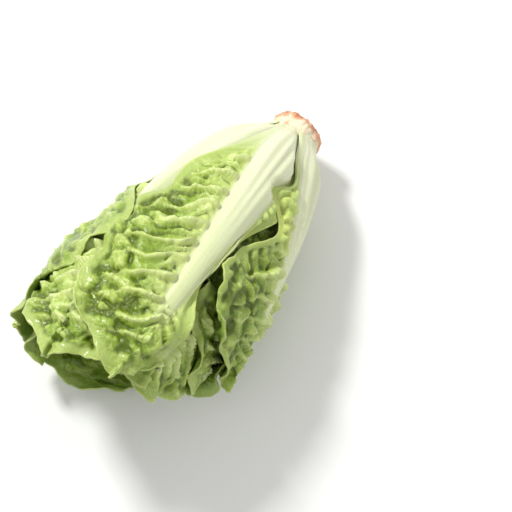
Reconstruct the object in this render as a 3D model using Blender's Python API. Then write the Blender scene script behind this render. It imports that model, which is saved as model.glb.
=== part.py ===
# A head of mini romaine lettuce, cut at the stem and lying on its side.
# The stem is one solid and each leaf, with its rib, is one solid that wraps round it.
# Each leaf is a height above the head's axis: along gives the distance from the cut face,
# turn gives the angle round the axis, from 0 at the top towards -Y. The leaves are laid from
# the outermost inwards, and each stays inside the leaves already laid.
import math

import bpy
import numpy as np

# Driving sizes, in millimetres and degrees
HEAD_LENGTH = 180.0
HEAD_RADIUS = 50.5
STEM_RADIUS = 13.5
AXIS_RISE = 9.0
CUT_FACE = (86.5, 1.1, 23.5)
BLADE_THICK = 1.2
GAP = 0.6
GOLDEN_ANGLE = 137.5

# The head's outline: share of its length from the cut face, and share of its radius
OUTLINE = (
    (0.0, 0.27), (0.03, 0.31), (0.055, 0.36), (0.11, 0.465), (0.17, 0.56), (0.28, 0.71),
    (0.44, 0.86), (0.61, 0.97), (0.72, 1.0), (0.83, 0.99), (0.92, 0.94), (1.0, 0.85), (1.1, 0.72),
)
# The stem inside the head: distance from the cut face, and radius
CORE = (
    (3.0, 13.2), (4.2, 9.2), (9.0, 7.0), (18.0, 5.8), (30.0, 4.9), (45.0, 3.8), (58.0, 2.2), (68.0, 0.4),
)
STEM_SIDES = 28
SCAR_COUNT = 7
CUT_BULGE = 0.6

# Leaf grid: columns in the rib, columns in each side of the blade, and rows
RIB_SHARE = 0.2
RIB_COLUMNS = 4
LARGE_GRID = {"side": 5, "rows": 15}
SMALL_GRID = {"side": 3, "rows": 10}

# Leaf shape: how soon it leaves the stem, how deep its rib is sunk, how it widens, and its end
RISE_LENGTH = 5.5
LEAST_RADIUS = 9.0
RIB_SUNK = 0.25
ROOT_WIDTH = 0.1
FULLY_OPEN = 0.64
TIP_LENGTH = 0.4
TIP_NOTCH = 0.012
LOBE_DEPTH = 0.04
VEIN_HALF = 1.2

# The room left for the next leaf is kept on a map of along and turn, as a share of the head's radius
MAP_START, MAP_END, MAP_TURNS = -10, 215, 240
MOST_ROOM = 1.3
SPREAD = 4
CELL_PLACES = 14
SETTLE_ROUNDS = 12
CLEARANCE = 1.0
TOUCHING = 0.01

LEAF = {
    "turn": 0.0, "drift": 0.0, "root": 6.0, "tip": 165.0, "left": 50.0, "right": 50.0,
    "rib": 11.0, "rib_height": 4.0, "blade_start": 0.08, "fill": 1.0, "flare_left": 0.0,
    "flare_right": 0.0, "tip_flare": 0.0, "ruffle": 3.2, "waves": 3.0, "phase": 0.0,
    "grid": LARGE_GRID,
}
# The outer leaves, from the outermost in
OUTER_LEAVES = (
    {"turn": 66, "drift": 24, "root": 4.8, "tip": 131, "left": 54, "right": 44, "rib": 14,
     "blade_start": 0.32, "flare_left": 3, "waves": 2.6, "phase": 0.6},
    {"turn": -108, "drift": 4, "root": 5.2, "tip": 166, "left": 60, "right": 58, "rib": 12,
     "blade_start": 0.3, "flare_right": 1.5, "ruffle": 2.0, "waves": 3.2, "phase": 2.1},
    {"turn": 13, "drift": 6, "root": 9.5, "tip": 168, "left": 49, "right": 18, "rib": 11,
     "rib_height": 5.0, "blade_start": 0.07, "ruffle": 2.6, "waves": 3.4, "phase": 1.0},
    {"turn": 160, "root": 8, "tip": 143, "left": 62, "right": 60, "phase": 0.3},
    {"turn": -58, "drift": 36, "root": 12.5, "tip": 176, "left": 50, "right": 46, "rib": 15,
     "rib_height": 3.6, "blade_start": 0.3, "fill": 1.02, "ruffle": 2.6, "phase": 4.0},
    {"turn": -130, "root": 15, "tip": 172, "left": 58, "right": 56, "rib": 12, "rib_height": 3.4,
     "tip_flare": 2, "phase": 3.0},
    {"turn": 100, "root": 18, "tip": 142, "left": 52, "right": 50, "rib": 12, "rib_height": 3.2,
     "phase": 5.0},
    {"turn": 40, "root": 21, "tip": 158, "left": 48, "right": 44, "rib": 12, "rib_height": 3.0,
     "phase": 2.4},
)
INNER_COUNT = 10
# The inner leaves follow the golden angle. Each value runs from the first of them to the last
INNER_ROOT = (24.0, 52.0)
INNER_TIP = (156.0, 126.0)
INNER_WIDTH = (46.0, 22.0)
INNER_RIB = (8.5, 3.5)
INNER_RIB_HEIGHT = (2.6, 1.2)
# Leaves on the long side of the head reach further than those on the short side
LONG_SIDE, LONG_REACH = -35.0, 12.0


def smooth(low, high, x):
    t = np.clip((x - low) / (high - low), 0.0, 1.0)
    return t * t * (3.0 - 2.0 * t)


def curve_through(points, x):
    """A smooth line through points, held level past its ends."""
    knots = np.array(points, float)
    px, py = knots[:, 0], knots[:, 1]
    slope = np.gradient(py, px)
    x = np.clip(x, px[0], px[-1])
    i = np.clip(np.searchsorted(px, x) - 1, 0, len(px) - 2)
    step = px[i + 1] - px[i]
    t = (x - px[i]) / step
    return (
        (2 * t**3 - 3 * t**2 + 1) * py[i]
        + (t**3 - 2 * t**2 + t) * step * slope[i]
        + (3 * t**2 - 2 * t**3) * py[i + 1]
        + (t**3 - t**2) * step * slope[i + 1]
    )


def head_radius(along):
    return HEAD_RADIUS * curve_through(OUTLINE, along / HEAD_LENGTH)


def core_radius(along):
    return np.interp(along, *zip(*CORE))


def place(along, turn, radius):
    """Points in metres, from places on the head in millimetres and degrees."""
    rise, round_axis = math.radians(AXIS_RISE), np.radians(turn)
    axis = np.array([-math.cos(rise), 0.0, math.sin(rise)])
    top = np.array([math.sin(rise), 0.0, math.cos(rise)])
    side = np.array([0.0, -1.0, 0.0])
    along, radius = np.asarray(along, float), np.asarray(radius, float)
    points = (
        np.array(CUT_FACE)
        + along[..., None] * axis
        + (radius * np.cos(round_axis))[..., None] * top
        + (radius * np.sin(round_axis))[..., None] * side
    )
    return points / 1000.0


def floor_radius(along, turn):
    """How far from the axis the surface under the head is, in the direction of turn."""
    rise = math.radians(AXIS_RISE)
    height = CUT_FACE[2] + along * math.sin(rise)
    down = -np.cos(np.radians(turn)) * math.cos(rise)
    return np.where(down > 0.05, height / np.maximum(down, 0.05), 1000.0)


def leaf_list():
    leaves = [{**LEAF, **outer} for outer in OUTER_LEAVES]
    for k in range(INNER_COUNT):
        share = k / (INNER_COUNT - 1)
        turn = leaves[-1]["turn"] + GOLDEN_ANGLE

        def between(ends, share=share):
            return ends[0] + (ends[1] - ends[0]) * share

        reach = LONG_REACH * (1 - share) * math.cos(math.radians(turn - LONG_SIDE))
        leaves.append({
            **LEAF, "turn": turn, "root": between(INNER_ROOT), "tip": between(INNER_TIP) + reach,
            "left": between(INNER_WIDTH), "right": between(INNER_WIDTH), "rib": between(INNER_RIB),
            "rib_height": between(INNER_RIB_HEIGHT),
            "phase": 1.7 * k, "grid": SMALL_GRID,
        })
    for k, leaf in enumerate(leaves):
        leaf["fill"] *= 1.0 - 0.86 * (max(k - 2, 0) / (len(leaves) - 3)) ** 1.05
    return leaves


def leaf_grid(leaf):
    """u from root to tip and v across, -1 and 1 at the margins and RIB_SHARE at the rib's sides."""
    side, rows = leaf["grid"]["side"], leaf["grid"]["rows"]
    rib = np.linspace(-RIB_SHARE, RIB_SHARE, RIB_COLUMNS + 1)
    blade = np.linspace(RIB_SHARE, 1.0, side + 1)[1:]
    v = np.concatenate([-blade[::-1], rib, blade])
    u = np.linspace(0.0, 1.0, rows + 1) ** 1.12
    return np.meshgrid(u, v, indexing="ij")


def leaf_radius(leaf, along):
    """The radius that the leaf would have if nothing lay over it."""
    rise = 1.0 - np.exp(-np.maximum(along - leaf["root"], 0.0) / RISE_LENGTH)
    at_core = core_radius(along) + GAP + BLADE_THICK / 2
    return at_core * (1.0 - rise) + head_radius(along) * leaf["fill"] * rise


def rib_width(leaf, u):
    """Half the rib's width: narrow where it leaves the stem, widest soon after, a vein at the tip."""
    full = VEIN_HALF + (leaf["rib"] - VEIN_HALF) * (1.0 - smooth(0.0, 0.95, u)) ** 0.9
    return full * (0.6 + 0.4 * smooth(0.0, 0.16, u))


def leaf_outline(leaf, u, v):
    """Distance from the cut face, and angle round the axis, of each place on the leaf."""
    length = leaf["tip"] - leaf["root"]
    in_tip = np.clip((u - 1.0 + TIP_LENGTH) / TIP_LENGTH, 0.0, 1.0)
    end = TIP_LENGTH * (1.0 - np.sqrt(1.0 - 0.5 * v * v)) * in_tip**1.3
    notch = TIP_NOTCH * np.sin(6.0 * v + 2.0 * leaf["phase"]) * smooth(0.75, 1.0, u)
    along = leaf["root"] + length * (u - end + notch)
    rib_half = rib_width(leaf, u)
    widest = np.where(v < 0, leaf["left"], leaf["right"])
    open_out = ROOT_WIDTH + (1.0 - ROOT_WIDTH) * smooth(leaf["blade_start"], FULLY_OPEN, u) ** 0.75
    close_in = np.cos(math.pi / 4 * in_tip)
    lobes = 1.0 + LOBE_DEPTH * np.sin(2 * math.pi * leaf["waves"] * u + leaf["phase"] + np.sign(v))
    blade = np.maximum(widest - rib_half, 2.0) * open_out * close_in * lobes
    outside = np.maximum(np.abs(v) - RIB_SHARE, 0.0) / (1.0 - RIB_SHARE)
    across = np.sign(v) * (rib_half * np.minimum(np.abs(v) / RIB_SHARE, 1.0) + blade * outside)
    turn = leaf["turn"] + leaf["drift"] * smooth(0.0, 1.0, u)
    return along, turn + np.degrees(across / np.maximum(leaf_radius(leaf, along), LEAST_RADIUS))


def rib_relief(leaf, u, v):
    across = np.clip(np.abs(v) / RIB_SHARE, 0.0, 1.0)
    along = (1.0 - 0.92 * smooth(0.0, 0.95, u)) * (0.4 + 0.6 * smooth(0.0, 0.15, u))
    return leaf["rib_height"] * along * (1.0 - across**2) ** 0.7


def ruffle_relief(leaf, u, v):
    """Waves along the margins and the tip, and the flare that lifts a margin off the head."""
    edge = smooth(0.35, 1.0, np.abs(v)) * smooth(0.2, 0.6, u)
    side = np.where(v < 0, 0.0, 1.9)
    wave = np.sin(2 * math.pi * leaf["waves"] * u + leaf["phase"] + side)
    end = smooth(0.7, 1.0, u) * np.sin(4.2 * v + leaf["phase"])
    flare = np.where(v < 0, leaf["flare_left"], leaf["flare_right"]) * np.abs(v) ** 3
    flare = flare * smooth(0.3, 0.6, u)
    return leaf["ruffle"] * (edge * wave + 0.7 * end) + flare + leaf["tip_flare"] * u**6


def least_within(room, reach, axis):
    """The least room within reach of each place on the map, which wraps round."""
    least = room
    for step in range(1, reach + 1):
        least = np.minimum(least, np.minimum(np.roll(room, step, axis), np.roll(room, -step, axis)))
    return least


def blurred(room, reach, axis):
    total = room.copy()
    for step in range(1, reach + 1):
        total = total + np.roll(room, step, axis) + np.roll(room, -step, axis)
    return total / (2 * reach + 1)


def map_place(along, turn):
    """The place on the map of the room left that is nearest to a place on the head."""
    i = np.clip(np.round(along - MAP_START).astype(int), 0, MAP_END - MAP_START - 1)
    j = np.round(turn * MAP_TURNS / 360.0).astype(int) % MAP_TURNS
    return i, j


def over_cells(corners):
    """Values spread over the two triangles that each cell of a grid is split into."""
    a, b = corners[:-1, :-1, None], corners[:-1, 1:, None]
    d, c = corners[1:, :-1, None], corners[1:, 1:, None]
    steps = np.linspace(0.0, 1.0, CELL_PLACES)
    s, t = (grid.ravel() for grid in np.meshgrid(steps, steps, indexing="ij"))
    one_way = np.where(t >= s, a + t * (b - a) + s * (c - b), a + s * (d - a) + t * (c - d))
    far_half = c + (1 - t) * (d - c) + (1 - s) * (b - c)
    other_way = np.where(s + t <= 1, a + t * (b - a) + s * (d - a), far_half)
    rows, columns = np.indices(one_way.shape[:2])
    return np.where(split_one_way(rows, columns)[..., None], one_way, other_way)


def split_one_way(row, column):
    return (row + column) % 2 == 1


def leaf_faces(leaf, room):
    """The outer and inner faces of a leaf, laid inside the room that is left, which it then takes."""
    u, v = leaf_grid(leaf)
    along, turn = leaf_outline(leaf, u, v)
    rib = rib_relief(leaf, u, v)
    lowest = core_radius(along) + GAP + BLADE_THICK / 2
    free = least_within(least_within(room, SPREAD, 1), SPREAD, 0)
    free = blurred(blurred(free, SPREAD, 1), SPREAD, 0)
    limit = free[map_place(along, turn)] * head_radius(along) - CLEARANCE - BLADE_THICK / 2 - rib
    wanted = leaf_radius(leaf, along) - RIB_SUNK * rib * smooth(0.0, 0.15, u) + ruffle_relief(leaf, u, v)
    wanted = -np.log(np.exp(-wanted) + np.exp(-limit))
    middle = np.maximum(np.minimum(wanted, floor_radius(along, turn) - BLADE_THICK / 2 - rib), lowest)
    places = map_place(over_cells(along), over_cells(turn))
    above = room[places] * head_radius(over_cells(along)) - CLEARANCE
    for _ in range(SETTLE_ROUNDS):
        excess = np.maximum((over_cells(middle + BLADE_THICK / 2 + rib) - above).max(axis=-1), 0.0)
        if excess.max() < TOUCHING:
            break
        padded = np.pad(excess, 1)
        lower = np.maximum.reduce([padded[1:, 1:], padded[:-1, 1:], padded[1:, :-1], padded[:-1, :-1]])
        drop = np.minimum(lower, middle - lowest)
        middle = middle - drop
        rib = np.maximum(rib - (lower - drop), 0.0)
    inner = middle - BLADE_THICK / 2
    np.minimum.at(room, places, over_cells(inner) / head_radius(over_cells(along)))
    return place(along, turn, middle + BLADE_THICK / 2 + rib), place(along, turn, inner)


def solid_from(name, points, faces, material):
    mesh = bpy.data.meshes.new(name)
    mesh.from_pydata([tuple(p) for p in points], [], faces)
    mesh.update()
    mesh.shade_smooth()
    mesh.set_sharp_from_angle(angle=math.radians(50))
    mesh.materials.append(material)
    made = bpy.data.objects.new(name, mesh)
    bpy.context.scene.collection.objects.link(made)
    return made


def leaf_solid(name, leaf, room, material):
    """Two faces split into triangles alike, and a rim of triangles that closes them."""
    outer, inner = leaf_faces(leaf, room)
    rows, columns = outer.shape[:2]
    count = rows * columns
    index = np.arange(count).reshape(rows, columns)
    faces = []
    for i in range(rows - 1):
        for j in range(columns - 1):
            a, b = int(index[i, j]), int(index[i, j + 1])
            d, c = int(index[i + 1, j]), int(index[i + 1, j + 1])
            split = ((a, b, c), (a, c, d)) if split_one_way(i, j) else ((a, b, d), (b, c, d))
            for x, y, z in split:
                faces.append((z, y, x))
                faces.append((x + count, y + count, z + count))
    rim = [*index[0, :], *index[1:, -1], *index[-1, -2::-1], *index[-2:0:-1, 0]]
    for k, here in enumerate(rim):
        p, q = int(here), int(rim[(k + 1) % len(rim)])
        faces.append((q, q + count, p + count))
        faces.append((q, p + count, p))
    return solid_from(name, np.concatenate([outer.reshape(-1, 3), inner.reshape(-1, 3)]), faces, material)


def finish(name, colour, roughness):
    material = bpy.data.materials.new(name)
    material.use_nodes = True
    shader = material.node_tree.nodes["Principled BSDF"]
    shader.inputs["Base Color"].default_value = (*colour, 1.0)
    shader.inputs["Roughness"].default_value = roughness
    shader.inputs["Metallic"].default_value = 0.0
    material.diffuse_color = (*colour, 1.0)
    return material


def stem_solid(material):
    """The cut stem: a rough cut face, a scarred collar, and the core that carries the leaves."""
    sides = STEM_SIDES
    turns = np.arange(sides) * 360.0 / sides
    around = np.radians(turns)
    lumps = STEM_RADIUS * (1.0 + 0.05 * np.sin(around * SCAR_COUNT) + 0.03 * np.sin(around * 3 + 0.7))
    rings = [(0.0, 0.55 * lumps), (0.5, 0.88 * lumps), (2.2, lumps), *CORE[1:-1]]
    points = [place(-CUT_BULGE, 0.0, 0.0)]
    for along, radius in rings:
        points += list(place(np.full(sides, along), turns, np.broadcast_to(radius, sides)))
    points.append(place(CORE[-2][0] + 1.0, 0.0, 0.0))
    faces = []
    for k in range(sides):
        n = (k + 1) % sides
        faces.append((0, 1 + k, 1 + n))
        last = 1 + (len(rings) - 1) * sides
        faces.append((len(points) - 1, last + n, last + k))
        for ring in range(len(rings) - 1):
            a, b = 1 + ring * sides, 1 + (ring + 1) * sides
            faces.append((a + k, b + k, b + n))
            faces.append((a + k, b + n, a + n))
    return solid_from("stem", points, faces, material)


def main():
    for old in list(bpy.data.objects):
        bpy.data.objects.remove(old)
    stem = finish("stem", (0.86, 0.80, 0.66), 0.6)
    outer_green = finish("outer_leaf", (0.36, 0.52, 0.16), 0.42)
    inner_green = finish("inner_leaf", (0.55, 0.68, 0.28), 0.42)
    stem_solid(stem)
    room = np.full((MAP_END - MAP_START, MAP_TURNS), MOST_ROOM)
    for k, leaf in enumerate(leaf_list()):
        material = outer_green if k < len(OUTER_LEAVES) else inner_green
        leaf_solid(f"leaf_{k + 1:02d}", leaf, room, material)


main()
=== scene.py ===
# Looks for a head of mini romaine lettuce that lies on its side.
# Each leaf is a fine sheet laid round the head, puckered and thickened by Geometry Nodes.
import math

import bpy
import numpy as np
from mathutils import Matrix, Vector


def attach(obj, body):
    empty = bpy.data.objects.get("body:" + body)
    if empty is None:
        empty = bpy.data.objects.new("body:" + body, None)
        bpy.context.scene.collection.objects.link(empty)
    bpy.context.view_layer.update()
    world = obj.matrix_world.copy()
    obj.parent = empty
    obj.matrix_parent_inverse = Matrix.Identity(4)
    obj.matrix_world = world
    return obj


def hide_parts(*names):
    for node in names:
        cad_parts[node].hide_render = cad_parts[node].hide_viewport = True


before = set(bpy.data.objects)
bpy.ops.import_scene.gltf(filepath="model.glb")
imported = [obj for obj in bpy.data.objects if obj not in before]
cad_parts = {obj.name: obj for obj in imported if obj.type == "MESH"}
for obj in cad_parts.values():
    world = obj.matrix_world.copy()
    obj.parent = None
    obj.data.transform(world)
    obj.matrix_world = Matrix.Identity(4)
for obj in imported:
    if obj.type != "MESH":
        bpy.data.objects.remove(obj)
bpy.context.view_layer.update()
print("frame loaded")

perMetre = 1000.0  # millimetres in a metre

# the head: millimetres and degrees, along runs from the cut face, turn from the top towards -Y
head = {
    "cutFace": (86.5, 1.1, 23.5),
    "rise": 9.0,
    "length": 180.0,
    "radius": 49.5,
    "profile": (
        (0.0, 0.27), (0.03, 0.31), (0.055, 0.36), (0.11, 0.465), (0.17, 0.56), (0.28, 0.71),
        (0.44, 0.86), (0.61, 0.97), (0.72, 1.0), (0.83, 0.99), (0.92, 0.94), (1.0, 0.85), (1.1, 0.72),
    ),
    "core": ((0.0, 12.6), (6.0, 12.4), (10.0, 10.4), (18.0, 6.4), (30.0, 5.0), (45.0, 3.8), (68.0, 0.4)),
    "rootShare": 0.79, "deepRootShare": 0.45, "rootsFrom": 4.0, "rootsReach": 20.0,
    "riseLength": 7.0,
    "leastRadius": 9.0,
    "bladeThick": 0.75,
    "offFloor": 0.1, "sheetOffFloor": 0.15,
}


def smooth(low, high, x):
    t = np.clip((x - low) / (high - low), 0.0, 1.0)
    return t * t * (3.0 - 2.0 * t)


def curveThrough(points, x):  # a smooth line through points, level past its ends
    knots = np.array(points, float)
    px, py = knots[:, 0], knots[:, 1]
    slope = np.gradient(py, px)
    x = np.clip(x, px[0], px[-1])
    i = np.clip(np.searchsorted(px, x) - 1, 0, len(px) - 2)
    step = px[i + 1] - px[i]
    t = (x - px[i]) / step
    return (
        (2 * t**3 - 3 * t**2 + 1) * py[i]
        + (t**3 - 2 * t**2 + t) * step * slope[i]
        + (3 * t**2 - 2 * t**3) * py[i + 1]
        + (t**3 - t**2) * step * slope[i + 1]
    )


def headRadius(along):
    return head["radius"] * curveThrough(head["profile"], along / head["length"])


def coreRadius(along):
    return np.interp(along, *zip(*head["core"]))


def headAxes():
    rise = math.radians(head["rise"])
    axis = np.array([-math.cos(rise), 0.0, math.sin(rise)])
    top = np.array([math.sin(rise), 0.0, math.cos(rise)])
    return axis, top, np.array([0.0, -1.0, 0.0])


headAxis, headTop, headSide = headAxes()


def outwardAt(turn):
    angle = np.radians(turn)
    return np.cos(angle)[..., None] * headTop + np.sin(angle)[..., None] * headSide


def onHead(along, turn, radius):
    return np.array(head["cutFace"]) + along[..., None] * headAxis + radius[..., None] * outwardAt(turn)


def floorRadius(along, turn):  # from the axis to the floor in the direction of turn, 1000 for no floor
    rise = math.radians(head["rise"])
    height = head["cutFace"][2] + along * math.sin(rise)
    down = -np.cos(np.radians(turn)) * math.cos(rise)
    return np.where(down > 0.05, height / np.maximum(down, 0.05), 1000.0)


# the leaves, from the outermost in: lengths in millimetres, angles in degrees, and places such as
# bladeStart, leftOpen and ribFade as shares of the way from root to tip
leafDefaults = {
    "turn": 0.0, "drift": 0.0, "root": 6.0, "tip": 165.0, "left": 50.0, "right": 50.0,
    "rib": 11.0, "ribHeight": 4.0, "bladeStart": 0.08, "fill": 1.0, "flareLeft": 0.0,
    "flareRight": 0.0, "tipFlare": 0.0, "ruffle": 3.2, "waves": 3.0, "phase": 0.0,
    "step": 1.2, "rollLeft": ((0.0, 0.0), (1.0, 0.0)), "rollRight": ((0.0, 0.0), (1.0, 0.0)),
    "rollTip": ((-1.0, 0.0), (1.0, 0.0)), "rollFrom": 0.45, "frill": 22.0, "frillWaves": 5.0,
    "notches": (), "folds": 1.6, "tone": 0.0, "ribEnd": 0.95, "ribFade": 0.9, "paleSpot": (0, 0.0, 1.0),
    "ridge": 0.16, "puckered": 1.0, "hidden": 1.0, "leftOpen": 0.64, "rightStart": 0.0, "rightOpen": 0.64,
    "smoothMargin": 8.0, "wing": 0.0,
}
outerLeaves = (
    {"turn": 66, "drift": 26, "root": 6, "tip": 130, "left": 56, "right": 44, "rib": 14,
     "bladeStart": 0.38, "leftOpen": 0.84, "smoothMargin": 4.5, "flareLeft": 3, "waves": 2.6,
     "phase": 0.6, "step": 0.85, "ridge": 0.34, "ribFade": 0.72, "frill": 20,
     "notches": ((-1, 0.35, 0.06, -3.4),), "paleSpot": (-1, 0.42, 0.06),
     "rollLeft": ((0, -55), (0.25, -55), (0.35, -35), (0.5, -16), (0.7, -6), (1, -3))},
    {"turn": -108, "drift": 4, "root": 6, "tip": 166, "left": 60, "right": 58, "rib": 12,
     "bladeStart": 0.4, "ruffle": 1.6, "waves": 3.2, "phase": 2.1, "step": 1.0, "frill": 8,
     "puckered": 0.5, "rollRight": ((0, -55), (0.2, -50), (0.4, -8), (0.6, -5), (1, -5))},
    {"turn": 13, "drift": 6, "root": 8, "tip": 168, "left": 49, "right": 19, "rib": 11,
     "ribHeight": 7, "bladeStart": 0.07, "rightStart": 0.62, "rightOpen": 0.98, "ruffle": 2.6,
     "waves": 3.4, "phase": 1.0, "step": 0.85, "ribEnd": 1.04, "ribFade": 0.79, "frill": 11,
     "rollFrom": 0.2, "wing": 10,
     "rollRight": ((0, -0.5), (0.35, -0.5), (0.6, -9), (0.8, -3), (1, 0))},
    {"turn": 160, "root": 7, "tip": 143, "left": 62, "right": 60, "phase": 0.3, "step": 1.3},
    {"turn": -58, "drift": 36, "root": 9, "tip": 176, "left": 50, "right": 46, "rib": 18,
     "ribHeight": 6.5, "bladeStart": 0.3, "fill": 1.02, "ruffle": 2.0, "phase": 4.0, "step": 0.9,
     "frill": 9, "ribFade": 0.86},
    {"turn": -130, "root": 12, "tip": 169, "left": 58, "right": 56, "rib": 12, "ribHeight": 3.4,
     "tipFlare": 2, "phase": 3.0, "step": 1.0, "frill": 16, "hidden": 0.3},
    {"turn": 100, "root": 12, "tip": 142, "left": 52, "right": 50, "rib": 12, "ribHeight": 3.2,
     "phase": 5.0, "step": 1.2},
    {"turn": 40, "root": 14, "tip": 163, "left": 48, "right": 44, "rib": 12, "ribHeight": 3.0,
     "phase": 2.4, "step": 1.0, "rollTip": ((-1, 0), (0, 5), (1, 6))},
)
innerLeaves = {  # each pair runs from the first inner leaf to the last
    "count": 10, "goldenAngle": 137.5, "root": (24.0, 52.0), "tip": (156.0, 126.0),
    "width": (46.0, 22.0), "rib": (8.5, 3.5), "ribHeight": (2.6, 1.2), "tone": (0.25, 1.0),
    "longSide": -35.0, "longReach": 12.0, "step": 1.4, "phaseStep": 1.7,
}
layering = {
    "mapStart": -10.0, "mapEnd": 215.0, "mapStep": 0.5, "mapTurns": 480, "mostRoom": 1.3,
    "spread": 3, "clearance": 2.2, "settleRounds": 8, "settled": 0.02, "softenRounds": 3,
    "ribSunk": 0.25, "cellPlaces": 3, "coverReach": 4.0, "nesting": 0.86, "nestingCurve": 1.05,
    "seedStep": 7.3,
}
roomShape = (
    int((layering["mapEnd"] - layering["mapStart"]) / layering["mapStep"]), layering["mapTurns"],
)
outline = {
    "ribShare": 0.2, "ribColumns": 0.8, "ribCurve": 0.9, "rootRib": 0.6, "rootWidth": 0.1,
    "openCurve": 0.75, "lobeDepth": 0.04, "leastBlade": 2.0, "veinHalf": 1.2,
    "tipLength": 0.4, "tipRound": 0.5, "tipCurve": 1.3, "tipNotch": 0.012, "notchWaves": 6.0,
    "crinkle": 0.45, "crinkleLengths": (1.45, 3.7), "tipCrinkleWaves": (31.0, 17.0),
    "wingEnds": (0.3, 0.52),
}


def leafList():
    leaves = [{**leafDefaults, **outer} for outer in outerLeaves]
    count = innerLeaves["count"]
    for k in range(count):
        share = k / (count - 1)
        turn = leaves[-1]["turn"] + innerLeaves["goldenAngle"]

        def between(name, share=share):
            first, last = innerLeaves[name]
            return first + (last - first) * share

        offLongSide = math.radians(turn - innerLeaves["longSide"])
        reach = innerLeaves["longReach"] * (1 - share) * math.cos(offLongSide)
        leaves.append({
            **leafDefaults, "turn": turn, "root": between("root"), "tip": between("tip") + reach,
            "left": between("width"), "right": between("width"), "rib": between("rib"),
            "ribHeight": between("ribHeight"), "tone": between("tone"),
            "phase": innerLeaves["phaseStep"] * k, "step": innerLeaves["step"],
        })
    for k, leaf in enumerate(leaves):
        inwards = (max(k - 2, 0) / (len(leaves) - 3)) ** layering["nestingCurve"]
        leaf["fill"] *= 1.0 - layering["nesting"] * inwards
        leaf["seed"] = layering["seedStep"] * k
    return leaves


def leafGrid(leaf):  # u from root to tip, v across, -1 and 1 at the margins
    step, share = leaf["step"], outline["ribShare"]
    rows = int((leaf["tip"] - leaf["root"]) / step)
    ribColumns = 2 * max(4, int(outline["ribColumns"] * leaf["rib"] / step))
    leftColumns, rightColumns = int(leaf["left"] / step), int(leaf["right"] / step)
    v = np.concatenate([
        np.linspace(-1.0, -share, leftColumns + 1)[:-1],
        np.linspace(-share, share, ribColumns + 1),
        np.linspace(share, 1.0, rightColumns + 1)[1:],
    ])
    u, v = np.meshgrid(np.linspace(0.0, 1.0, rows + 1), v, indexing="ij")
    return u, v, leftColumns + ribColumns // 2


def leafRadius(leaf, along):  # the radius the leaf would have if nothing lay over it
    rise = 1.0 - np.exp(-np.maximum(along - leaf["root"], 0.0) / head["riseLength"])
    depth = max(0.0, (leaf["root"] - head["rootsFrom"]) / head["rootsReach"])
    atRoot = headRadius(along) * head["rootShare"] * max(head["deepRootShare"], 1.0 - depth)
    return np.maximum(atRoot, coreRadius(along)) * (1.0 - rise) + headRadius(along) * leaf["fill"] * rise


def ribWidth(leaf, u):
    least = outline["veinHalf"]
    ahead = (1.0 - smooth(0.0, leaf["ribEnd"], u)) ** outline["ribCurve"]
    full = least + (leaf["rib"] - least) * ahead
    return full * (outline["rootRib"] + (1.0 - outline["rootRib"]) * smooth(0.0, 0.16, u))


def leafOutline(leaf, u, v):
    length, phase, share = leaf["tip"] - leaf["root"], leaf["phase"], outline["ribShare"]
    inTip = np.clip((u - 1.0 + outline["tipLength"]) / outline["tipLength"], 0.0, 1.0)
    end = outline["tipLength"] * (1.0 - np.sqrt(1.0 - outline["tipRound"] * v * v))
    end = end * inTip ** outline["tipCurve"]
    notch = outline["tipNotch"] * np.sin(outline["notchWaves"] * v + 2.0 * phase)
    notch = notch * smooth(0.75, 1.0, u)
    first, second = outline["tipCrinkleWaves"]
    tipCrinkle = outline["crinkle"] * np.sin(first * v + phase) * np.cos(second * v)
    tipCrinkle = tipCrinkle * smooth(0.85, 1.0, u)
    along = leaf["root"] + length * (u - end + notch) + tipCrinkle
    ribHalf = ribWidth(leaf, u)
    widest = np.where(v < 0, leaf["left"], leaf["right"])
    start = np.where(v < 0, leaf["bladeStart"], max(leaf["bladeStart"], leaf["rightStart"]))
    opened = smooth(start, np.where(v < 0, leaf["leftOpen"], leaf["rightOpen"]), u)
    opened = opened ** outline["openCurve"]
    openOut = outline["rootWidth"] + (1.0 - outline["rootWidth"]) * opened
    lobes = 1.0 + outline["lobeDepth"] * np.sin(2 * math.pi * leaf["waves"] * u + phase + np.sign(v))
    blade = np.maximum(widest - ribHalf, outline["leastBlade"]) * openOut
    blade = blade * np.cos(math.pi / 4 * inTip) * lobes
    for side, place, reach, depth in leaf["notches"]:  # a depth below 0 is a lobe
        cut = 1.0 - depth * np.exp(-(((u - place) / reach) ** 2))
        blade = blade * np.where(np.sign(v) == side, cut, 1.0)
    wing = leaf["wing"] * smooth(0.0, 0.06, u) * (1.0 - smooth(*outline["wingEnds"], u)) * (v > 0)
    blade = np.maximum(blade, wing)  # the pale strip beside the foot of the midrib
    first, second = outline["crinkleLengths"]
    crinkle = np.sin(length * u / first + phase) * np.cos(length * u / second + 2 * phase)
    blade = blade + outline["crinkle"] * crinkle * smooth(0.15, 0.4, u) * opened
    outside = np.maximum(np.abs(v) - share, 0.0) / (1.0 - share)
    across = np.sign(v) * (ribHalf * np.minimum(np.abs(v) / share, 1.0) + blade * outside)
    turn = leaf["turn"] + leaf["drift"] * smooth(0.0, 1.0, u)
    turn = turn + np.degrees(across / np.maximum(leafRadius(leaf, along), head["leastRadius"]))
    fromRib = blade * outside
    toMargin = np.minimum(blade * (1.0 - outside), length * (1.0 - u) + 0.0 * v)
    return along, turn, across, fromRib, toMargin


ribForm = {"fade": 0.9, "atRoot": 0.1, "ridges": 12.0, "roundness": 0.75}
waviness = {  # how the ruffles and folds that all leaves share run
    "rightShift": 1.9, "tipShare": 0.7, "tipWaves": 4.2, "flareCurve": 3, "tipFlareCurve": 6,
    "foldsAlong": 19.0, "foldsLean": 5.0, "foldsAcross": 7.0, "foldsTurn": 3.0, "foldsPhase": 1.3,
}


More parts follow.
